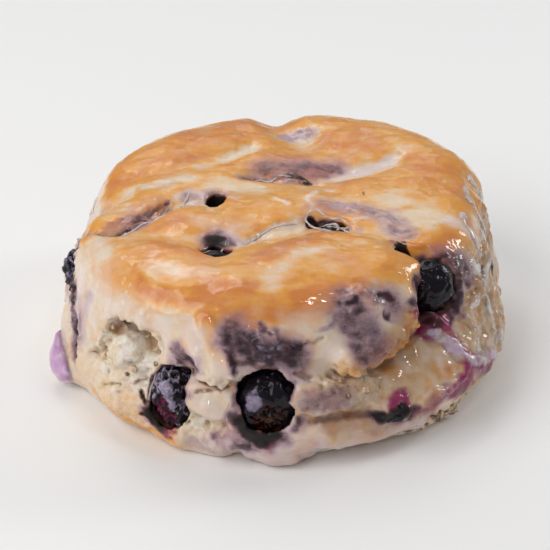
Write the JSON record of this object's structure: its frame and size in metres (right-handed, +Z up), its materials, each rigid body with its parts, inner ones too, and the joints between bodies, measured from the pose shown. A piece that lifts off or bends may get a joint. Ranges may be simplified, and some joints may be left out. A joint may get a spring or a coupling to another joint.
{
  "type": "glazed blueberry biscuit",
  "caption": "Large round glazed blueberry biscuit with a folded golden crust, torn crumb and berries showing in its top and side, resting on its flat base.",
  "frame": {"origin": "middle of the flat base, on the surface the biscuit stands on", "axes": "+Z up through the crust, -Y towards the side that the picture shows, +X to its right"},
  "size_m": [0.0873, 0.0893, 0.0325],
  "materials": {
    "crust": "baked golden crust and cream crumb under a thin sugar glaze",
    "berry": "dark blue-black skin, wet and glossy",
    "glaze": "translucent white sugar glaze",
    "juice": "magenta berry juice mixed with glaze"
  },
  "bodies": {
    "root": {"biscuit": "crust", "berry_right": "berry", "berry_front": "berry", "berry_front_upper": "berry", "berry_split": "berry", "berry_left_edge": "berry", "berry_ledge": "berry", "berry_low_right": "berry", "berry_right_edge": "berry", "berry_top_pit": "berry", "berry_top_slot": "berry", "berry_top_back": "berry", "berry_crease": "berry", "berry_back_left": "berry", "berry_back": "berry", "berry_back_right": "berry"}
  },
  "joints": []
}
